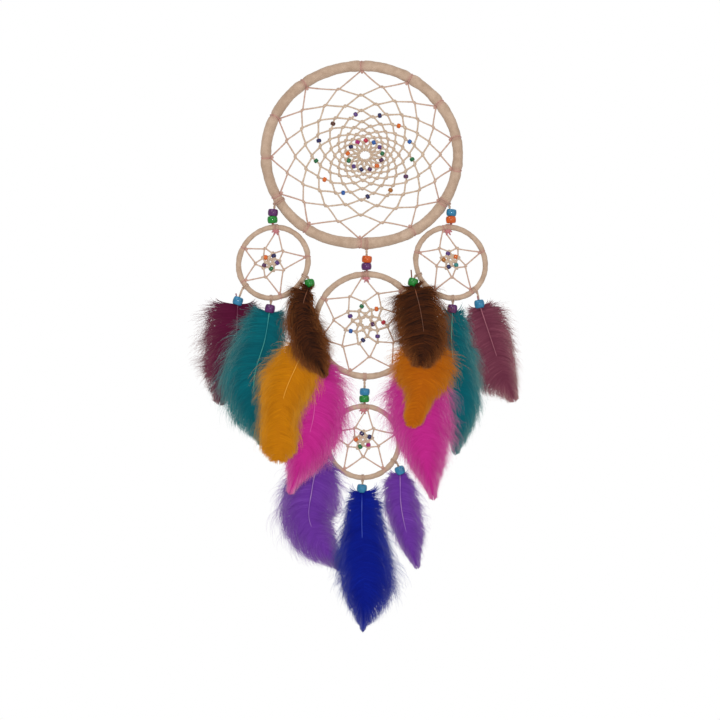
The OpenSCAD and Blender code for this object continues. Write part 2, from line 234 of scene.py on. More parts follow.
def lump(centre, radii, axis=(0, 0, 1), rough=0.12, rings=8, sides=10):
    """A knot of thread or lace: an uneven ellipsoid"""
    axis = unit(axis)
    side = unit(np.cross(axis, Y if abs(axis[1]) < 0.9 else [1.0, 0, 0]))
    deep = np.cross(axis, side)
    points = []
    for i in range(rings + 1):
        v = math.pi * i / rings
        for j in range(sides):
            u = 2 * math.pi * j / sides
            k = (1 + rough * math.sin(3 * u + 5 * v) * math.sin(v)
                 + rough * 0.6 * math.cos(5 * u - 2 * v) * math.sin(v))
            points.append(
                np.asarray(centre)
                + k * radii[0] * math.sin(v) * math.cos(u) * side
                + k * radii[1] * math.sin(v) * math.sin(u) * deep
                + radii[2] * math.cos(v) * axis)
    return points, grid_faces(rings + 1, sides, False, True)


def rounded(points, cut, steps=4, closed=True):
    """A polyline with each corner rounded off, starting cut before it"""
    points = np.asarray(points, float)
    n = len(points)
    path = []
    for i in range(n):
        p = points[i]
        if not closed and i in (0, n - 1):
            path.append(p)
            continue
        before, after = points[i - 1], points[(i + 1) % n]
        a = p + unit(before - p) * min(cut, 0.4 * np.linalg.norm(before - p))
        b = p + unit(after - p) * min(cut, 0.4 * np.linalg.norm(after - p))
        for t in np.linspace(0, 1, steps):
            path.append((1 - t) ** 2 * a + 2 * t * (1 - t) * p + t * t * b)
    return np.array(path)


def turn_round(hoop, angle, radius, minor, slant, offset=0.0):
    """One closed turn of thread round a hoop's tube at angle, slanting along it by slant"""
    c = in_space(hoop_point(hoop, angle))
    n = in_space(direction(angle))
    along = np.cross(n, Y)
    b = np.linspace(0, 2 * math.pi, 28, endpoint=False)
    lean = np.sin(b) * slant
    path = c + radius * (np.cos(b)[:, None] * n + np.sin(b)[:, None] * Y) + (offset + lean)[:, None] * along
    return tube(path, minor, 7, True, across=along)


def cord_between(shape, a, b, radius, twists, steps=14):
    """Two strands twisted together from a to b"""
    a, b = np.asarray(a, float), np.asarray(b, float)
    along = unit(b - a)
    side = np.cross(along, Y)
    t = np.linspace(0, 1, steps)
    for half in (0, math.pi):
        w = 2 * math.pi * twists * t + half
        path = a + (b - a) * t[:, None] + 0.45 * radius * (np.cos(w)[:, None] * side + np.sin(w)[:, None] * Y)
        shape.add(*tube(path, 0.62 * radius, 8))


# ---------- Materials ----------
def srgb(*c):
    """0 to 255 screen values as linear light"""
    return tuple(v / 255 / 12.92 if v <= 10 else ((v / 255 + 0.055) / 1.055) ** 2.4 for v in c) + (1.0,)


class Surface:
    """A Principled material and short calls to wire its nodes"""

    def __init__(self, name, **sockets):
        self.material = bpy.data.materials.new(name)
        self.material.use_nodes = True
        self.tree = self.material.node_tree
        self.shader = self.tree.nodes["Principled BSDF"]
        for socket, value in sockets.items():
            self.shader.inputs[socket.replace("_", " ")].default_value = value
        self.place = self.tree.nodes.new("ShaderNodeTexCoord").outputs["Object"]

    def node(self, kind, **settings):
        made = self.tree.nodes.new(kind)
        for key, value in settings.items():
            setattr(made, key, value)
        return made

    def wire(self, a, b):
        self.tree.links.new(a, b)

    def noise(self, scale, detail=4.0, roughness=0.6, stretch=None):
        made = self.node("ShaderNodeTexNoise")
        made.inputs["Scale"].default_value = scale
        made.inputs["Detail"].default_value = detail
        made.inputs["Roughness"].default_value = roughness
        place = self.place
        if stretch:
            scaled = self.node("ShaderNodeMapping")
            scaled.inputs["Scale"].default_value = stretch
            self.wire(place, scaled.inputs["Vector"])
            place = scaled.outputs["Vector"]
        self.wire(place, made.inputs["Vector"])
        return made.outputs["Fac"]

    def attribute(self, name):
        return self.node("ShaderNodeAttribute", attribute_name=name).outputs["Fac"]

    def reshape(self, value, low, high, to_low=0.0, to_high=1.0):
        made = self.node("ShaderNodeMapRange")
        self.wire(value, made.inputs["Value"])
        for socket, v in zip(("From Min", "From Max", "To Min", "To Max"), (low, high, to_low, to_high)):
            made.inputs[socket].default_value = v
        return made.outputs["Result"]

    def mix(self, factor, a, b):
        """a and b are colours or the outputs of other nodes"""
        made = self.node("ShaderNodeMix", data_type="RGBA")
        self.wire(factor, made.inputs["Factor"])
        for socket, value in ((made.inputs[6], a), (made.inputs[7], b)):
            if isinstance(value, tuple):
                socket.default_value = value
            else:
                self.wire(value, socket)
        return made.outputs[2]

    def colour(self, output):
        self.wire(output, self.shader.inputs["Base Color"])

    def roughness(self, output):
        self.wire(output, self.shader.inputs["Roughness"])

    def bump(self, output, strength, distance):
        made = self.node("ShaderNodeBump")
        made.inputs["Strength"].default_value = strength
        made.inputs["Distance"].default_value = distance
        self.wire(output, made.inputs["Height"])
        self.wire(made.outputs["Normal"], self.shader.inputs["Normal"])


def suede_surface(name, light, dark, pink):
    """Napped suede: mottled tone, fine fibres, and a pink bleed where the dyed thread crosses it"""
    s = Surface(name, Sheen_Weight=0.08, Sheen_Roughness=0.6, Specular_IOR_Level=0.15)
    mottled = s.mix(s.reshape(s.noise(140, 6, 0.65), 0.35, 0.68), dark, light)
    fibres = s.mix(s.reshape(s.noise(1500, 5, 0.7), 0.3, 0.75, 0.0, 0.4), mottled, light)
    s.colour(s.mix(s.reshape(s.attribute("pink"), 0.0, 1.0, 0.0, 0.8), fibres, pink))
    s.roughness(s.reshape(s.noise(500), 0.3, 0.7, 0.82, 0.97))
    s.bump(s.noise(1800, 6, 0.7), 0.35, 0.0002)
    return s.material


def thread_surface(name, light, dark, pink):
    """Waxed twisted thread, pink where its attribute says so"""
    s = Surface(name, Specular_IOR_Level=0.25, Sheen_Weight=0.05)
    plain = s.mix(s.reshape(s.noise(700, 5, 0.65), 0.35, 0.7), dark, light)
    s.colour(s.mix(s.reshape(s.attribute("pink"), 0.0, 1.0, 0.0, 0.9), plain, pink))
    s.roughness(s.reshape(s.noise(900), 0.3, 0.7, 0.6, 0.85))
    s.bump(s.noise(2600, 4, 0.6), 0.4, 0.0002)
    return s.material


def plastic_surface(name, colour):
    """Moulded opaque plastic with a faint flow pattern and small scuffs"""
    s = Surface(name, Coat_Weight=0.3, Coat_Roughness=0.05, Specular_IOR_Level=0.3)
    deep = tuple(v * 0.7 for v in colour[:3]) + (1.0,)
    pale = tuple(min(1.0, v * 1.12 + 0.004) for v in colour[:3]) + (1.0,)
    flow = s.reshape(s.noise(240, 5, 0.55, stretch=(1, 1, 2.5)), 0.32, 0.68)
    s.colour(s.mix(flow, deep, pale))
    s.roughness(s.reshape(s.noise(1300, 6, 0.7), 0.35, 0.75, 0.18, 0.36))
    s.bump(s.noise(900, 3, 0.5), 0.06, 0.0002)
    return s.material


def glass_surface(name, colour):
    """Opaque glass seed bead"""
    s = Surface(name, Coat_Weight=0.2, Coat_Roughness=0.04, IOR=1.52, Specular_IOR_Level=0.3)
    pale = tuple(min(1.0, v * 1.5 + 0.02) for v in colour[:3]) + (1.0,)
    s.colour(s.mix(s.reshape(s.noise(900, 3), 0.35, 0.7), colour, pale))
    s.roughness(s.reshape(s.noise(1500, 4), 0.3, 0.7, 0.08, 0.22))
    return s.material


def steel_surface(name):
    """Drawn steel wire, with fine streaks"""
    s = Surface(name, Metallic=1.0)
    s.colour(s.mix(s.noise(600, 4), (0.42, 0.42, 0.44, 1.0), (0.62, 0.62, 0.64, 1.0)))
    s.roughness(s.reshape(s.noise(900, 5, stretch=(1, 6, 1)), 0.3, 0.7, 0.25, 0.45))
    return s.material


def barb_surface(name, core, light, edge):
    """Dyed barbs: streaks of tone from barb to barb, paler and thinner in dye at their tips"""
    s = Surface(name, Sheen_Weight=0.04, Sheen_Roughness=0.5, Specular_IOR_Level=0.08)
    streaks = s.mix(s.attribute("shade"), core, light)
    patches = s.mix(s.reshape(s.noise(45, 3), 0.35, 0.7, 0.0, 0.45), streaks, core)
    s.colour(s.mix(s.attribute("tip"), patches, edge))
    s.roughness(s.reshape(s.noise(800), 0.3, 0.7, 0.7, 0.9))
    return s.material


def rachis_surface(name, colour, pale):
    """The feather's quill: horn, dyed less than the barbs"""
    s = Surface(name, Specular_IOR_Level=0.45)
    s.colour(s.mix(s.reshape(s.noise(260, 3, stretch=(1, 1, 0.3)), 0.35, 0.65), colour, pale))
    s.roughness(s.reshape(s.noise(1200), 0.3, 0.7, 0.35, 0.55))
    return s.material


SUEDE = suede_surface("suede_wrap", srgb(199, 173, 151), srgb(170, 143, 121), srgb(178, 112, 112))
THREAD = thread_surface("web_thread", srgb(218, 196, 172), srgb(184, 158, 136), srgb(188, 118, 118))
KNOT = thread_surface("tie_thread", srgb(198, 134, 134), srgb(182, 106, 114), srgb(180, 96, 112))
STEEL = steel_surface("ring_steel")
PONY = {
    "blue": plastic_surface("bead_blue", srgb(40, 122, 162)),
    "purple": plastic_surface("bead_purple", srgb(88, 28, 94)),
    "green": plastic_surface("bead_green", srgb(18, 130, 40)),
    "orange": plastic_surface("bead_orange", srgb(208, 86, 0)),
}
SEED = {
    name: glass_surface("seed_" + name, srgb(*c))
    for name, c in dict(
        orange=(188, 86, 6), blue=(22, 74, 142), green=(18, 92, 50), plum=(72, 30, 70),
        amber=(150, 88, 16), navy=(20, 14, 70), brown=(72, 34, 18), purple=(72, 40, 104),
        magenta=(150, 10, 96), crimson=(166, 16, 48), teal=(28, 110, 108)).items()
}
# Feather dyes: core, light streaks, edge, rachis. A feather's look names another dye to show.
DYES = {
    "maroon": (srgb(74, 8, 40), srgb(104, 26, 64), srgb(176, 146, 138), srgb(142, 60, 90)),
    "faded_maroon": (srgb(86, 30, 52), srgb(150, 84, 100), srgb(200, 176, 164), srgb(168, 98, 114)),
    "teal": (srgb(0, 77, 90), srgb(2, 124, 132), srgb(150, 178, 168), srgb(70, 168, 150)),
    "brown": (srgb(22, 8, 5), srgb(122, 62, 24), srgb(168, 110, 62), srgb(84, 48, 30)),
    "yellow": (srgb(176, 104, 2), srgb(220, 142, 6), srgb(214, 166, 78), srgb(232, 172, 50)),
    # The right yellow's dye: more orange than the yellow, and also darker with painted shade from the brown
    # feather that hangs in front of it.
    "amber_yellow_painted_shade": (srgb(160, 78, 2), srgb(206, 116, 8), srgb(210, 152, 70), srgb(226, 162, 50)),
    "magenta": (srgb(178, 28, 124), srgb(212, 58, 158), srgb(216, 158, 186), srgb(206, 104, 160)),
    "purple": (srgb(92, 40, 140), srgb(130, 76, 178), srgb(184, 168, 192), srgb(170, 128, 190)),
    "blue": (srgb(2, 15, 116), srgb(8, 38, 164), srgb(124, 126, 166), srgb(50, 74, 176)),
}
BARBS = {name: barb_surface("barbs_" + name, *dye[:3]) for name, dye in DYES.items()}
RACHIS = {name: rachis_surface("rachis_" + name, dye[1], dye[3]) for name, dye in DYES.items()}


# ---------- Hoops ----------
WRAP_STEP = 0.75  # between the rings of points of a wrap
WRAP_SIDES = 28  # points round a wrap
LACE_TURN = 5.2  # between the turns of the wound lace


def ripple(angle, seeds, waves=(2, 3, 5, 8, 13, 21)):
    """A smooth uneven value round a hoop, about -1 to 1"""
    return sum(np.sin(math.tau * (w * angle / 360 + s)) / (1 + 0.35 * i)
               for i, (w, s) in enumerate(zip(waves, seeds))) / 2.2


def wrap(hoop):
    """The suede lace wound round a hoop: overlapping turns, lumps, and a pinch at each hitch"""
    w, h = hoop["size"]
    length = math.pi * (w + h) / 2
    steps, sides = int(length / WRAP_STEP), WRAP_SIDES
    turns = round(length / LACE_TURN)
    radius = hoop["tube"] / 2
    thick, shift, high = (rng.random(6) for _ in range(3))
    marks = np.array(hoop["hitches"])
    a = np.linspace(0, 360, steps, endpoint=False)
    b = np.linspace(0, 360, sides, endpoint=False)
    centre = in_space(np.array([hoop_point(hoop, v) for v in a]))
    n = in_space(np.array([direction(v) for v in a]))
    away = np.abs((a[:, None] - marks[None, :] + 180) % 360 - 180) * math.pi / 180 * (w + h) / 4
    near = away.min(axis=1)
    pinch = np.exp(-((near / 1.6) ** 2))
    swell = np.exp(-(((near - 5.0) / 3.2) ** 2))
    phase = (turns * a[:, None] / 360 + b[None, :] / 360) % 1
    lap = np.clip(phase / 0.2, 0, 1) - phase
    r = radius * (1 + 0.06 * ripple(a, thick))[:, None] + 0.17 * lap
    r = r + (0.3 * swell - 0.6 * pinch)[:, None] * radius / 4
    bump_in = 0.03 * radius * np.cos(np.radians(b * 2)[None, :] + 6 * ripple(a, high)[:, None])
    points = (
        centre[:, None]
        + (0.03 * radius * ripple(a, shift))[:, None, None] * n[:, None]
        + (r + bump_in)[:, :, None] * (np.cos(np.radians(b))[None, :, None] * n[:, None]
                                       + np.sin(np.radians(b))[None, :, None] * Y))
    pink = np.repeat(0.3 * np.exp(-((near / 1.8) ** 2)), sides)
    shape = Shape()
    shape.add(points, grid_faces(steps, sides, True, True), value=pink)
    ob = shape.build(hoop["name"] + "_suede_wrap", [SUEDE], "pink")
    place(ob, hoop["name"] + "_hoop", "suede", hoop["name"] + "_ring_wrap")


def place(ob, body, slot, *nodes):
    """A rigid piece on body that stands for CAD nodes"""
    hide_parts(*nodes)
    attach(ob, body)


def row_thread(shape, hoop, outer, inner, depth, pink, weight):
    """One round of thread: from each knot in to the next row's knot and out again. pink is the
    tint at its outer and inner knots, and weight scales its thickness."""
    hub = hoop["middle"] + np.array(hoop["hub"])
    reach = 0.45 * hoop["thread"] / 0.5
    corners, depths = [], []
    for i in range(len(outer)):
        corners.append(outer[i] + unit(outer[i] - hub) * reach)
        corners.append(inner[i] - unit(inner[i] - hub) * reach)
        depths.extend([depth, -depth])
    flat = in_space(corners, depths)
    path = []
    for i, p in enumerate(flat):
        q = flat[(i + 1) % len(flat)]
        sideways = unit(np.cross(q - p, Y)) * rng.normal(0, 0.014) * np.linalg.norm(q - p)
        bend = np.array([[0.1], [0.25], [0.5], [0.75], [0.9]])
        path.extend([p, *(p + (q - p) * bend + 4 * bend * (1 - bend) * sideways)])
    path = rounded(path, 2.2 * hoop["thread"] / 0.5, 3)
    far = np.linalg.norm(path[:, [0, 2]] - hub, axis=1)
    tint = pink[1] + (pink[0] - pink[1]) * (far - far.min()) / (far.max() - far.min())
    to_knot = np.linalg.norm(path[:, None, :] - flat[None, :, :], axis=2).min(axis=1)
    uneven = weight * hoop["thread"] * (1 + 0.08 * rng.standard_normal(len(path)).clip(-1.5, 1.5))
    uneven = uneven * (0.94 + 0.5 * np.exp(-((to_knot / 1.7) ** 2)))
    shape.add(*tube(path, uneven, 8, True, flat=0.8), value=np.repeat(tint, 8))


def web(hoop):
    """The net: a thread for each row, a tight loop at each knot and the closing ring"""
    rows = web_rows(hoop)
    hub = hoop["middle"] + np.array(hoop["hub"])
    shape = Shape()
    small = hoop["name"] != "main"
    for k in range(len(rows) - 1):
        fade = (0.2 if small else 0.3) * k
        pink = (max(0.0, 0.5 - fade), max(0.0, 0.12 - fade))
        row_thread(shape, hoop, rows[k], rows[k + 1], 0.34, pink, 1.0 if k < 2 else 1.3 if small else 1.1)
        for knot in rows[k + 1]:
            inward = in_space(unit(hub - knot))
            centre = in_space(knot)
            size = hoop["thread"] * rng.uniform(1.6, 2.1)
            tint = pink[1]
            shape.add(*lump(centre, (size, size * 0.8, size * 0.95), inward, 0.14, 6, 9), value=tint)
            b = np.linspace(0, math.tau, 12, endpoint=False)
            side = np.cross(inward, Y)
            ring = centre + 1.55 * hoop["thread"] * (
                np.cos(b)[:, None] * side + np.sin(b)[:, None] * Y) + 0.5 * np.sin(b)[:, None] * inward
            shape.add(*tube(ring, 0.55 * hoop["thread"], 6, True, across=inward), value=tint)
    closing = rounded(in_space(rows[-1]), 0.5, 3)
    shape.add(*tube(closing, hoop["thread"], 8, True), value=0.0)
    for a in hoop["hitches"]:
        hitch(shape, hoop, a)
    ob = shape.build(hoop["name"] + "_thread_web", [THREAD], "pink")
    place(ob, hoop["name"] + "_hoop", "web_thread", hoop["name"] + "_web")


def hitch(shape, hoop, a):
    """The thread's turn round the tube, slanting, and the loop it leaves inside the rim"""
    radius = hoop["tube"] / 2
    minor = 0.3 if radius < 3 else 0.36
    slant = rng.uniform(0.5, 1.2) * radius / 3 * rng.choice([-1, 1])
    shape.add(*turn_round(hoop, a, radius * 0.965, minor, slant), value=0.7)
    inner = in_space(hoop_point(hoop, a, -radius - 0.2))
    inward = in_space(-direction(a))
    along = np.cross(inward, Y)
    shape.add(*lump(inner, (3.2 * minor, 2.6 * minor, 1.1), inward, 0.2), value=0.6)
    for side in (-1, 1):
        path = [inner + side * along * 2.6 - inward * 0.8, inner + side * along * 0.9, inner + inward * 1.8]
        path = rounded(path, 1.4, 5, False)
        shape.add(*tube(path, np.linspace(0.8, 1.9, len(path)) * minor, 7), value=0.45)


# Seed beads are drawn larger than the CAD's 2.9 by 2.2 mm, nearer to what the photo shows.
SEED_RADIUS, SEED_HALF, SEED_BORE = 2.0, 1.55, 0.6


def seed_beads(name, rings):
    """Glass seed beads on a web, each strung on the thread between two knots"""
    hoop = HOOPS[name]
    rows = web_rows(hoop)
    used = sorted({c for _, _, _, colours in rings for c in colours.split()})
    shape = Shape()
    for _, row, side, colours in rings:
        count = len(rows[row])
        for i, colour in enumerate(colours.split()):
            a, b = rows[row][i], rows[row + 1][(i - side) % count]
            v = np.linspace(0, math.tau, 14, endpoint=False)
            outer = SEED_RADIUS * rng.uniform(0.94, 1.06)
            middle, half = (outer + SEED_BORE) / 2, (outer - SEED_BORE) / 2
            profile = np.stack([middle + half * np.cos(v), SEED_HALF * np.sin(v)], 1)
            bead = lathe(profile, in_space((a + b) / 2), in_space(unit(b - a)), 20)
            shape.add(*bead, slot=used.index(colour))
    ob = shape.build(name + "_seed_beads", [SEED[c] for c in used])
    place(ob, name + "_hoop", "seed_beads", name + "_web_beads")


# ---------- Beads and hangers ----------
# Pony beads are drawn a little larger than the CAD's too, which are 8 by 5.8 mm.
WAIST, BORE = 4.2, 1.8  # radii of a pony bead
FEATHER_HALF, FEATHER_RIM = 3.5, 2.3  # half length and rim radius of a feather's bead
HANGER_HALF, HANGER_RIM = 2.95, 2.7  # the same of a hanger's bead


def barrel(shape, centre, axis, slot=0, half=FEATHER_HALF, rim=FEATHER_RIM):
    """A pony bead: bulging sides, rounded rims, straight bore"""
    inner = np.linspace(0.5, 1.4, 3)
    lip = [(BORE + 0.5 - 0.5 * math.cos(v), half - 0.5 + 0.5 * math.sin(v)) for v in inner]
    profile = [(BORE, z) for z in np.linspace(half - 0.5, -half + 0.5, 5)]
    profile += [(r, -z) for r, z in lip]
    for v in np.linspace(-1.4, 1.4, 17):
        profile.append((rim + (WAIST - rim) * math.cos(v) ** 0.7 - 0.3 * abs(v / 1.4) ** 10,
                        half * math.sin(v) / math.sin(1.45)))
    profile += lip[::-1]
    shape.add(*lathe(profile, centre, axis), slot=slot)


def middle_of(node):
    """The middle of a CAD node's box, in millimetres"""
    low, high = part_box(node)
    return np.array((low + high) / 2) / MM


def hanger(name, above, angle, lower, upper):
    """Two pony beads on a lace between two hoops"""
    hinge = np.array(joints[name + "_hanger_swing"]["pos_m"]) / MM
    low, high = (np.array(v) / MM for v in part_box(name + "_hanger_beads"))
    shape = Shape()
    for slot, (sideways, height, tilt) in enumerate((
            (-0.2, low[2] + HANGER_HALF, 94), (0.2, high[2] - HANGER_HALF, 86))):
        centre = (hinge[0] + sideways, 0, height)
        barrel(shape, centre, in_space(direction(tilt)), slot, HANGER_HALF, HANGER_RIM)
    ob = shape.build(name + "_hanger_pony_beads", [PONY[lower], PONY[upper]])
    place(ob, name + "_hanger", "hanger_beads", name + "_hanger_beads")

    # The lace comes off the loop on the tube above and runs through both beads.
    top = in_space(hoop_point(HOOPS[above], angle, HOOPS[above]["tube"] / 2 + 0.2))
    shape = Shape()
    cord_between(shape, top, (hinge[0], 0, low[2] + 1.0), 1.0, twists=3)
    lace = shape.build(name + "_hanger_cord", [SUEDE], "pink")
    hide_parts(name + "_hanger_lace")
    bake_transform(lace)

    # Its lower end goes from the beads into the glued knot on the hoop below.
    hoop = HOOPS[name]
    knot = in_space(hoop_point(hoop, 90, hoop["tube"] / 2))
    start, end = np.array([hinge[0], 0, low[2] + 1.4]), np.array([hinge[0], 0, knot[2] - 0.2])
    shape = Shape()
    cord_between(shape, start, end, 0.95, twists=0.8, steps=8)
    tail = shape.build(name + "_hanger_tail", [KNOT], "pink")
    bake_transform(tail)


def ties(hoop, feather_ties, hanger_ties, hung):
    """Loops and knots round a hoop: its feathers', those of the hangers below it and, where it is
    hung, its own hanger's"""
    radius = hoop["tube"] / 2
    shape = Shape()
    for a in feather_ties:
        out = in_space(direction(a))
        for k, offset in enumerate((-0.55, 0.6)):
            shape.add(*turn_round(hoop, a, radius + 0.32, 0.5, 0.35 * (1 - 2 * k), offset), value=0.15)
        knot = in_space(hoop_point(hoop, a, radius + 0.75))
        shape.add(*lump(knot, (1.25, 1.15, 1.0), out, 0.2), value=0.2)
    for a in hanger_ties:
        out = in_space(direction(a))
        for offset in (-1.0, 0.0, 1.0):
            shape.add(*turn_round(hoop, a, radius + 0.3, 0.55, rng.uniform(-0.3, 0.3), offset), value=0.35)
        shape.add(*lump(in_space(hoop_point(hoop, a, radius + 0.7)), (1.6, 1.3, 0.9), out, 0.2), value=0.3)
    if hung:
        for offset in (-1.6, -0.55, 0.55, 1.6):
            shape.add(*turn_round(hoop, 90, radius + 0.12, 0.55, rng.uniform(-0.4, 0.4), offset), value=0.4)
        # The knot's glue spreads inside the rim and out along the first threads.
        inner = hoop_point(hoop, 90, -radius - 0.4)
        shape.add(*lump(in_space(inner, -0.2), (2.7, 1.7, 1.9), (0, 0, 1), 0.1, 10, 16), slot=1)
        for slant, reach in ((-64, 3.6), (-22, 4.4), (24, 4.4), (66, 3.4)):
            foot = inner + reach * direction(270 + slant)
            path = [in_space(inner, -0.6), in_space(inner + 0.5 * (foot - inner), -0.5), in_space(foot, -0.2)]
            path = rounded(path, 1.0, 5, False)
            shape.add(*tube(path, np.linspace(1.3, 0.5, len(path)), 9), slot=1)
    ob = shape.build(hoop["name"] + "_tied_loops", [SUEDE, KNOT], "pink")
    place(ob, hoop["name"] + "_hoop", "tie_thread", hoop["name"] + "_ties")


# ---------- Feathers ----------
# Each feather: hoop, angle of its loop, bead, dye, the vane's layer (y), how far down its rachis
# shows, points that its spine bends by and its tip (x, z), and half widths on the left and right
# as (place along, width). Some have more. nub: how far the quill stands out above the bead.
# paddle: where the vane turns smooth. wild: how unruly its barbs are. fade: how much lighter they
# get outwards. room: how far they may leave the layer to the front and back. ahead: how far the
# rachis lies in front of it. look: the dye that it shows, where that is not the one named by dye.
FEATHERS = {
    "left_maroon": dict(
        hoop="left", angle=219, bead="blue", dye="maroon", y=2.4, shows=0.3, nub=3, room=(-0.3, 1.8),
        spine=((-103.3, -220), (-107.4, -249), (-116.4, -271.3)),
        left=((0.0, 19), (0.06, 25), (0.4, 24), (0.75, 22), (0.9, 17), (0.97, 10), (1.0, 6)),
        right=((0.0, 15), (0.08, 20), (0.5, 19), (0.8, 15), (0.95, 8), (1.0, 4))),
    "left_teal": dict(
        hoop="left", angle=270, bead="purple", dye="teal", y=0, shows=0.62,
        spine=((-79.5, -220), (-88.6, -257), (-81.2, -304)),
        left=((0.0, 13), (0.1, 18), (0.35, 22), (0.62, 24), (0.85, 18), (0.95, 10), (1.0, 4)),
        right=((0.0, 12), (0.08, 15), (0.35, 17), (0.7, 15), (0.95, 7), (1.0, 3))),
    "left_brown": dict(
        hoop="left", angle=335, bead="green", dye="brown", y=-8.4, shows=0.15,
        wild=1.5, fade=0.8, room=(-1.8, 0.4),
        spine=((-48.4, -195.8), (-43.5, -222), (-30.3, -249)),
        left=((0.0, 9), (0.1, 13), (0.25, 12), (0.4, 13), (0.7, 13), (0.9, 9), (1.0, 3)),
        right=((0.0, 5), (0.15, 7), (0.4, 11), (0.7, 15), (0.9, 10), (1.0, 3))),
    "left_yellow": dict(
        hoop="middle", angle=184, bead="orange", dye="yellow", y=-7, shows=0.48,
        paddle=0.7, ahead=0.6, room=(-0.7, 0.4),
        spine=((-51.7, -237), (-64.8, -271), (-68.1, -319.6)),
        left=((0.0, 9), (0.15, 15), (0.38, 20), (0.58, 16), (0.72, 13), (0.94, 14), (0.985, 11), (1.0, 8)),
        right=((0.0, 9), (0.15, 16), (0.35, 20), (0.55, 16), (0.72, 12), (0.94, 13), (0.985, 10), (1.0, 7))),
    "left_magenta": dict(
        hoop="middle", angle=204, bead="purple", dye="magenta", y=-5.6, shows=0.54,
        ahead=0.45, room=(-0.8, 0.7),
        spine=((-38.5, -260), (-41, -290), (-58.2, -343.4)),
        left=((0.0, 10), (0.15, 17), (0.5, 17), (0.75, 14), (0.93, 6), (1.0, 3)),
        right=((0.0, 12), (0.12, 20), (0.3, 24), (0.55, 24), (0.78, 16), (0.94, 6), (1.0, 3))),
    "right_brown": dict(
        hoop="right", angle=203, bead="green", dye="brown", y=-8.4, shows=0.55, nub=7,
        wild=1.3, fade=0.8, room=(-1.8, 0.4),
        spine=((47.6, -195.8), (50.8, -220), (48.4, -241.7)),
        left=((0.0, 13), (0.1, 19), (0.4, 21), (0.75, 20), (0.95, 12), (1.0, 8)),
        right=((0.0, 10), (0.1, 15), (0.4, 17), (0.75, 17), (0.95, 11), (1.0, 8))),
    # Its look is a more orange yellow, darkened with painted shade from the brown feather in front of it.
    "right_yellow": dict(
        hoop="middle", angle=356, bead="orange", dye="yellow", y=-7, shows=0.3, look="amber_yellow_painted_shade",
        paddle=0.64, ahead=0.6, room=(-0.7, 0.4),
        spine=((50.8, -241), (47.6, -265.5), (40.2, -291)),
        left=((0.0, 10), (0.15, 22), (0.35, 24), (0.55, 19), (0.68, 10), (0.85, 8), (0.97, 7.5), (1.0, 5)),
        right=((0.0, 10), (0.15, 20), (0.35, 23), (0.55, 19), (0.68, 10), (0.85, 8), (0.97, 7.5), (1.0, 5))),
    "right_magenta": dict(
        hoop="middle", angle=331, bead="blue", dye="magenta", y=-5.6, shows=0.3,
        ahead=0.45, room=(-0.8, 0.7),
        spine=((47.6, -265.5), (50, -302), (58, -348)),
        left=((0.0, 13), (0.1, 21), (0.28, 28), (0.5, 23), (0.75, 14), (0.94, 6), (1.0, 3)),
        right=((0.0, 10), (0.1, 18), (0.3, 23), (0.55, 22), (0.78, 15), (0.94, 6), (1.0, 3))),
    "right_teal": dict(
        hoop="right", angle=270, bead="purple", dye="teal", y=0, shows=0.3,
        spine=((73.8, -228.6), (80.4, -269.6), (76.8, -311)),
        left=((0.0, 7), (0.1, 10), (0.4, 13), (0.7, 12), (0.95, 6), (1.0, 3)),
        right=((0.0, 9), (0.1, 13), (0.4, 16), (0.7, 15), (0.95, 7), (1.0, 3))),
    "right_maroon": dict(
        hoop="right", angle=312, bead="blue", dye="maroon", y=2.4, shows=0.5, nub=3, look="faded_maroon",
        room=(-0.3, 1.8),
        spine=((103.3, -212), (113.2, -241), (124.6, -268.8)),
        left=((0.0, 10), (0.1, 16), (0.35, 21), (0.65, 25), (0.85, 20), (0.96, 9), (1.0, 5)),
        right=((0.0, 10), (0.1, 17), (0.35, 16), (0.65, 12), (0.95, 6), (1.0, 4))),
    "bottom_left_purple": dict(
        hoop="bottom", angle=187, bead="purple", dye="purple", y=-2.9, shows=0.56,
        spine=((-41, -343.4), (-41.8, -372), (-18, -406.6)),
        left=((0.0, 8), (0.1, 15), (0.3, 22), (0.6, 21), (0.82, 15), (0.95, 7), (1.0, 3)),
        right=((0.0, 10), (0.1, 17), (0.3, 22), (0.55, 20), (0.8, 11), (0.95, 5), (1.0, 3))),
    "bottom_blue": dict(
        hoop="bottom", angle=269, bead="blue", dye="blue", y=-5, shows=0.3,
        spine=((0, -376), (1.6, -417), (0.8, -455.5)),
        left=((0.0, 10), (0.05, 12), (0.26, 13), (0.41, 17), (0.56, 20),
              (0.71, 17), (0.86, 12), (0.95, 7), (1.0, 2)),
        right=((0.0, 12), (0.05, 15), (0.26, 17), (0.41, 19), (0.56, 21),
               (0.71, 23), (0.86, 18), (0.95, 11), (1.0, 2))),
    "bottom_right_purple": dict(
        hoop="bottom", angle=328, bead="blue", dye="purple", y=-2.9, shows=0.6,
        spine=((32, -355.7), (36.9, -380), (44.6, -405.5)),
        left=((0.0, 9), (0.1, 13), (0.4, 12), (0.7, 8), (0.94, 4), (1.0, 2)),
        right=((0.0, 7), (0.1, 11), (0.4, 14), (0.7, 13), (0.93, 6), (1.0, 3))),
}


# Sets of barbs, from the dense web of the vane to its fringe of down:
# (how many in 100 mm, spread, thickness, wildness, tip attribute at the root and the end)
BARB_SETS = [
    (520, 0.95, 0.62, 0.3, (0.0, 0.1)),
    (700, 1.02, 0.32, 0.9, (0.0, 0.4)),
    (620, 1.16, 0.18, 1.7, (0.0, 0.95)),
]
TUFT = 0.021  # Barbs whose roots share this much of the spine cling together.
DENSE_WIDTH = 40  # A half vane as wide as this has twice the barbs of a very narrow one.
LAYER_REACH = 3  # the distance out from the spine over which a vane nears its layer


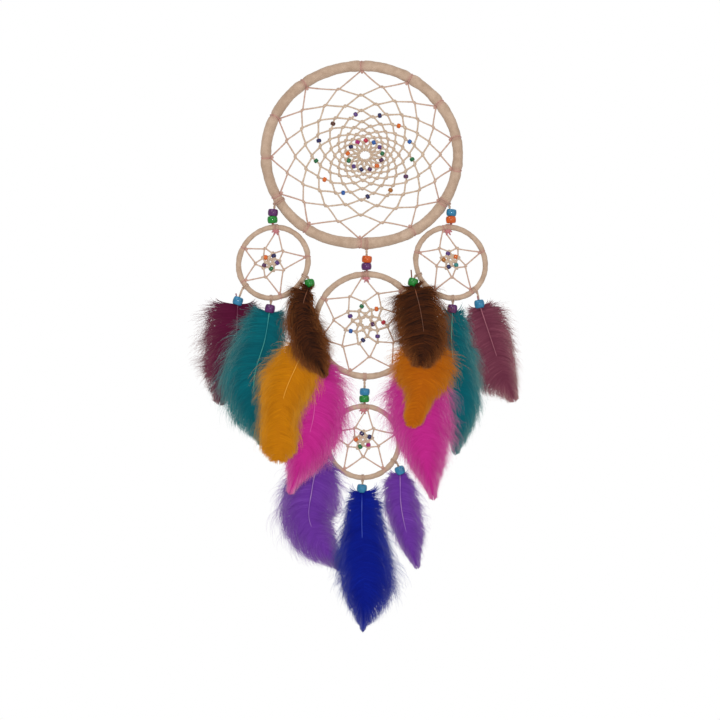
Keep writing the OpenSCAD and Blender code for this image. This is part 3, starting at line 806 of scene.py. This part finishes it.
def spine_of(start, bends, y):
    """Places along the spine from 0 to 1, the points there, the directions along it, its length"""
    ends = np.array([start, *bends], float)
    t = np.linspace(0, 1, 81)
    u = t * 3
    # Catmull-Rom through the points, with the ends carried on
    p = np.vstack([2 * ends[0] - ends[1], ends, 2 * ends[-1] - ends[-2]])
    k = np.minimum(u.astype(int), 2)
    part = (u - k)[:, None]
    a, b, c, d = p[k], p[k + 1], p[k + 2], p[k + 3]
    flat = 0.5 * (2 * b + (c - a) * part + (2 * a - 5 * b + 4 * c - d) * part ** 2
                  + (3 * b - a - 3 * c + d) * part ** 3)
    steps = np.concatenate([[0], np.cumsum(np.linalg.norm(np.diff(flat, axis=0), axis=1))])
    place_at = steps / steps[-1]
    depth = y * np.clip(place_at / 0.07, 0, 1) ** 1.5
    points = np.stack([np.interp(t, place_at, flat[:, 0]), np.interp(t, place_at, depth),
                       np.interp(t, place_at, flat[:, 1])], 1)
    along = unit(np.gradient(points, axis=0))
    return t, points, along, steps[-1]


def to_layer(y, base_y, lateral):
    """The depth of a point of the vane: out from the spine it soon lies in the vane's own layer"""
    return base_y + (y - base_y) * (1 - np.exp(-np.abs(lateral) / LAYER_REACH))


def barb_set(shape, spine, f, side, count, spread, thick, wild, tips):
    """One set of barbs on one side of a feather's spine. spread scales their reach, wild is how
    unruly they are, and tips is the tip attribute at their roots and ends."""
    t, points, along, length = spine
    y, wild = f["y"], wild * f.get("wild", 1.0)
    root = np.sort(rng.uniform(0.0, 0.99, count))
    smooth = root > f.get("paddle", 1.0)
    jitter = rng.normal(0, 1, (5, count)).clip(-2, 2) * np.where(smooth, 0.15, 1.0)
    tuft = (root / TUFT).astype(int)
    bunch = rng.normal(0, 1, (2, int(1 / TUFT) + 1))[:, tuft] * np.where(smooth, 0.1, 1.0)
    # Near the bead the barbs stand straight out or up, and near the tip they close up.
    run = 0.16 * np.clip(root / 0.22, 0.0, 1.0) * np.clip((1 - root) / 0.22, 0, 1) ** 0.5
    run = run * np.where(smooth, 0.6, 1.0)
    end = root + run + (0.016 + 0.02 * wild) * jitter[0] + 0.014 * wild * bunch[0]
    end = end + np.where(smooth, 0, 0.4) * ((tuft + 0.5) * TUFT - root)
    start = np.where(smooth, 0.86, 0.7)
    closing = np.clip((root - start) / (1 - start), 0, 1) ** 0.7
    inset = closing * rng.uniform(0, 1, count)
    over = np.clip(end - 1.0, 0.0, 0.012) + 0.025 * closing * inset
    end = np.clip(end, 0.0, 1.0)
    reach = np.interp(end, *zip(*f["left" if side < 0 else "right"])) * spread
    reach = reach * (1 + 0.06 * (1 + wild) * jitter[1] + 0.05 * wild * bunch[1])
    reach = reach * (1 - inset)
    rise = 0.045 * length * np.exp(-root / 0.04) * (1 + 0.5 * jitter[4])
    s = np.linspace(0, 1, 10)
    at = root[:, None] + (end - root)[:, None] * (0.35 * s + 0.65 * s ** 1.6)
    base = np.stack([np.interp(at, t, points[:, k]) for k in range(3)], -1)
    way = unit(np.stack([np.interp(at, t, along[:, k]) for k in range(3)], -1))
    out = side * np.cross(way, Y)
    forward = (over * length)[:, None] * s ** 2 - rise[:, None] * s ** 1.5
    forward = forward + wild * 0.55 * np.sin(s * (5 + jitter[4][:, None]) + 3 * jitter[3][:, None]) * s
    deep = (0.3 + 0.7 * wild) * jitter[2][:, None] * s ** 1.5 + rng.uniform(-0.35, 0.35, (count, 1))
    deep = np.clip(deep, *f.get("room", (-0.9, 0.7)))
    sideways = reach[:, None] * np.sin(s * math.pi / 2) ** 0.9
    path = base + sideways[:, :, None] * out + forward[:, :, None] * way
    path[:, :, 1] = to_layer(y, base[:, :, 1], sideways) + deep
    half = 0.5 * thick * (1 - 0.82 * s ** 1.3)
    roll = rng.normal(0, 0.22, count)[:, None, None]
    going = unit(np.gradient(path, axis=1))
    across = (unit(np.cross(going, Y)) * np.cos(roll) + Y * np.sin(roll)) * half[:, None]
    strips = np.stack([path - across, path + across], 2)
    tint = tips[0] + (tips[1] - tips[0]) * np.clip(s ** 3.5 + 0.12 * jitter[3][:, None] * s ** 2, 0, 1)
    tone = rng.normal(0.32 if "fade" not in f else 0.12, 0.14, count) + 0.1 * bunch[1]
    tone = np.clip(tone[:, None] + f.get("fade", 0.45) * s ** 2, 0, 1)
    faces = grid_faces(len(s), 2, False, False)
    size = 2 * len(s)
    shape.add(strips, [[i * size + v for v in quad] for i in range(count) for quad in faces],
              value=np.repeat(tint, 2, axis=1))
    shape.shades.append(np.repeat(tone, 2, axis=1).ravel())


def down(shape, spine, f):
    """The soft middle of the vane under its barbs, a thin lens across the spine"""
    t, points, along, _ = spine
    t, points, along = t[:-2], points[:-2], along[:-2]
    across = np.linspace(-1, 1, 15)
    sideways = np.cross(along, Y)
    left, right = (np.interp(t, *zip(*f[key]))[:, None] for key in ("left", "right"))
    width = np.where(across[None, :] < 0, left, right)
    closing = np.clip((1 - t) / 0.3, 0, 1)[:, None] ** 0.6
    ragged = 1 + 0.1 * np.sin(60 * t[:, None] + 4 * across) * np.abs(across)
    lateral = 0.74 * width * closing * ragged * across
    deep = 0.3 * np.sqrt(1.02 - across ** 2)
    for face in (-1, 1):
        sheet = points[:, None] + lateral[:, :, None] * sideways[:, None]
        sheet[:, :, 1] = to_layer(f["y"], points[:, None, 1], lateral) + face * deep
        faces = grid_faces(len(t), len(across), False, False)
        shape.add(sheet, faces if face > 0 else [quad[::-1] for quad in faces])
        shape.shades.append(np.broadcast_to(0.2 + 0.3 * across ** 2, sheet.shape[:2]).ravel())


def feather(name, f):
    """A feather with its quill in the bead, thousands of separate barbs and a downy fringe"""
    bead = middle_of(name + "_bead")
    hinge = np.array(joints[name + "_swing"]["pos_m"]) / MM
    string = unit(bead - hinge)
    shape = Shape()
    barrel(shape, bead, string)
    ob = shape.build(name + "_pony_bead", [PONY[f["bead"]]])
    place(ob, name + "_string", "bead_" + f["bead"], name + "_bead")

    first = np.array(f["spine"][0])
    mouth = bead[[0, 2]] + 2.6 * unit(first - bead[[0, 2]])
    spine = spine_of(mouth, f["spine"], f["y"])
    length = spine[3]
    shape = Shape()
    shape.shades = []
    down(shape, spine, f)
    for side, widths in ((-1, f["left"]), (1, f["right"])):
        density = length / 100 * (1 + np.mean([w for _, w in widths]) / DENSE_WIDTH)
        for count, *style in BARB_SETS:
            barb_set(shape, spine, f, side, int(count * density), *style)
    look = f.get("look", f["dye"])
    barbs = shape.build(name + "_barbs", [BARBS[look]], "tip")
    shade = barbs.data.attributes.new("shade", "FLOAT", "POINT")
    shade.data.foreach_set("value", np.concatenate(shape.shades).astype(np.float32))
    place(barbs, name + "_string", f["dye"] + "_feather", name + "_feather")

    # The rachis lies on the front of the barbs near the bead and sinks among them further down.
    t, points = spine[:2]
    keep, shows = t < 0.9, f["shows"]
    path = points[keep].copy()
    ahead = f.get("ahead", 0.85)
    path[:, 1] += np.interp(t[keep], (0, 0.06, shows - 0.05, shows + 0.08), (0, -ahead, -ahead, 0.4))
    radius = np.interp(t[keep], (0, 0.05, 0.5, 0.9), (0.55, 0.45, 0.3, 0.1))
    inside = np.array([bead - 2.0 * string + [0.9, 0, 0], bead + 1.5 * string + [0.5, 0, 0]])
    if f.get("nub"):
        inside = np.vstack([bead + [-1.6, -0.8, 3.2 + f["nub"]], bead + [-1.0, -0.4, 3.0], inside])
    shape = Shape()
    shape.add(*tube(np.vstack([inside, path]), np.concatenate([np.full(len(inside), 0.55), radius]), 8))
    quill = shape.build(name + "_rachis", [RACHIS[look]])
    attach(quill, name + "_string")

    # The lace bends at its knot on the hoop and runs down into the bead; it is attached to no body.
    hoop = HOOPS[f["hoop"]]
    top = in_space(hoop_point(hoop, f["angle"], hoop["tube"] / 2 + 0.3))
    shape = Shape()
    path = rounded([top, hinge + 0.6 * string, bead - 1.5 * string], 1.5, 5, False)
    for half in (0, math.pi):
        w = np.linspace(0, math.tau * 1.2, len(path)) + half
        off = 0.38 * (np.cos(w)[:, None] * np.cross(string, Y) + np.sin(w)[:, None] * Y)
        shape.add(*tube(path + off, 0.56, 8))
    lace = shape.build(name + "_lace", [SUEDE], "pink")
    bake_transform(lace)


for hoop in HOOPS.values():
    wrap(hoop)
    web(hoop)
    seed_beads(hoop["name"], [r for r in SEED_RINGS if r[0] == hoop["name"]])
    ties(hoop, [f["angle"] for f in FEATHERS.values() if f["hoop"] == hoop["name"]],
         [h[2] for h in HANGERS if h[1] == hoop["name"]], hoop["name"] != "main")
    wire = frame["nodes"][hoop["name"] + "_ring_wire"]
    wire.data.materials.clear()
    wire.data.materials.append(STEEL)
for h in HANGERS:
    hanger(*h)
for feather_name, f in FEATHERS.items():
    feather(feather_name, f)


# ---------- Camera, light and floor ----------
# In metres: the width and the middle (x, z) of what the camera sees, and its distance
VIEW_W = 0.590
VIEW_MIDDLE = (-0.0016, -0.2368)
FAR = 2.2
FLOOR_Z, FLOOR_HALF = -1.3, 2
camera = bpy.data.objects.new("camera", bpy.data.cameras.new("camera"))
camera.data.sensor_width = 36
camera.data.lens = 36 * FAR / VIEW_W
camera.location = (VIEW_MIDDLE[0], -FAR, VIEW_MIDDLE[1])
camera.rotation_euler = (math.pi / 2, 0, 0)
bpy.context.scene.collection.objects.link(camera)
bpy.context.scene.camera = camera


def area_light(name, place_m, power, size):
    """A square soft light aimed at the object's middle"""
    light = bpy.data.objects.new(name, bpy.data.lights.new(name, "AREA"))
    light.data.energy = power
    light.data.size = size
    light.location = place_m
    aim = Vector((0, 0, VIEW_MIDDLE[1])) - light.location
    light.rotation_euler = aim.to_track_quat("-Z", "Y").to_euler()
    bpy.context.scene.collection.objects.link(light)


area_light("key", (-0.9, -1.5, 0.9), 9, 0.9)
area_light("flash", (0.06, -2.1, -0.1), 8, 0.1)
area_light("fill", (1.2, -1.3, 0.1), 4.5, 1.2)
area_light("back", (0.4, 1.4, 0.7), 6, 1.0)

world = bpy.data.worlds.new("studio")
bpy.context.scene.world = world
world.use_nodes = True
tree = world.node_tree
glow, backdrop = tree.nodes["Background"], tree.nodes.new("ShaderNodeBackground")
for node, strength in ((glow, 0.62), (backdrop, 1.0)):
    node.inputs["Color"].default_value = (1, 1, 1, 1)
    node.inputs["Strength"].default_value = strength
seen, both = tree.nodes.new("ShaderNodeLightPath"), tree.nodes.new("ShaderNodeMixShader")
tree.links.new(seen.outputs["Is Camera Ray"], both.inputs[0])
tree.links.new(glow.outputs[0], both.inputs[1])
tree.links.new(backdrop.outputs[0], both.inputs[2])
tree.links.new(both.outputs[0], tree.nodes["World Output"].inputs["Surface"])
bpy.context.scene.view_settings.view_transform = "Standard"

floor_mesh = bpy.data.meshes.new("floor")
corners = [(x * FLOOR_HALF, y * FLOOR_HALF, FLOOR_Z) for x, y in ((-1, -1), (1, -1), (1, 1), (-1, 1))]
floor_mesh.from_pydata(corners, [], [(0, 1, 2, 3)])
floor = bpy.data.objects.new("floor", floor_mesh)
floor_surface = Surface("floor", Roughness=0.8)
mottle = floor_surface.mix(floor_surface.noise(6, 3), (0.86, 0.86, 0.86, 1.0), (0.9, 0.9, 0.9, 1.0))
floor_surface.colour(mottle)
floor_mesh.materials.append(floor_surface.material)
bpy.context.scene.collection.objects.link(floor)
